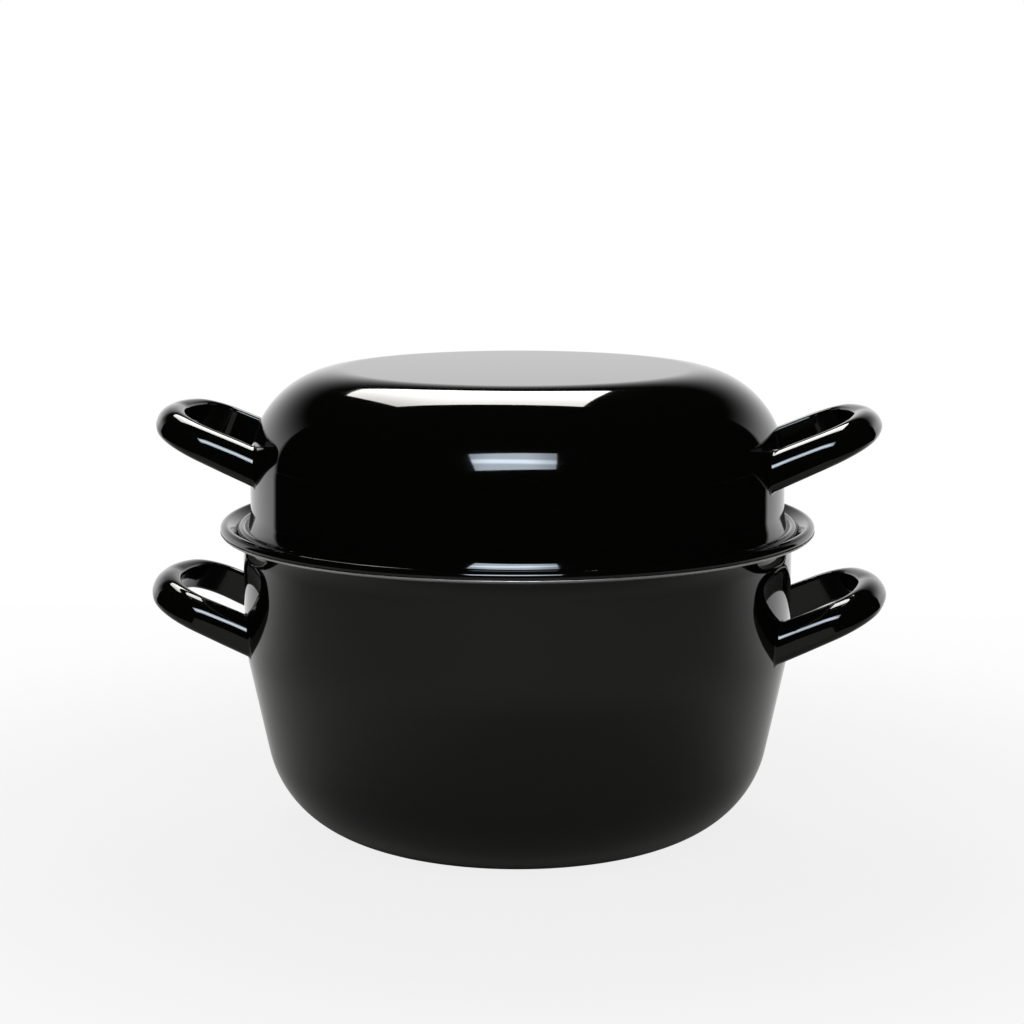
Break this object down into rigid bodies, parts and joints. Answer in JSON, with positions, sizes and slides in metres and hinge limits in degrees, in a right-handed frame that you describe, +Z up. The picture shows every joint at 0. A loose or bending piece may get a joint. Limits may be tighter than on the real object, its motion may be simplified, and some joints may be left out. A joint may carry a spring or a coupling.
{
  "type": "mussel pot",
  "caption": "Deep round black enamelled steel mussel pot with a rolled rim, and a deep bowl-shaped lid resting in it, each with two hollow loop handles tilted upwards.",
  "frame": {"origin": "middle of the flat base, on the surface that the pot stands on", "axes": "+Z up through the lid, +X towards one pair of handles, +Y completes the frame"},
  "size_m": [0.326, 0.2624, 0.2061],
  "materials": {
    "black_enamel": "black vitreous enamel on pressed steel, high gloss",
    "bright_trim": "bright stainless steel, fine finish"
  },
  "bodies": {
    "root": {"pot_body": "black_enamel", "pot_rim_trim": "bright_trim", "pot_handle_right": "black_enamel", "pot_handle_left": "black_enamel", "lid_body": "black_enamel", "lid_handle_right": "black_enamel", "lid_handle_left": "black_enamel"}
  },
  "joints": []
}
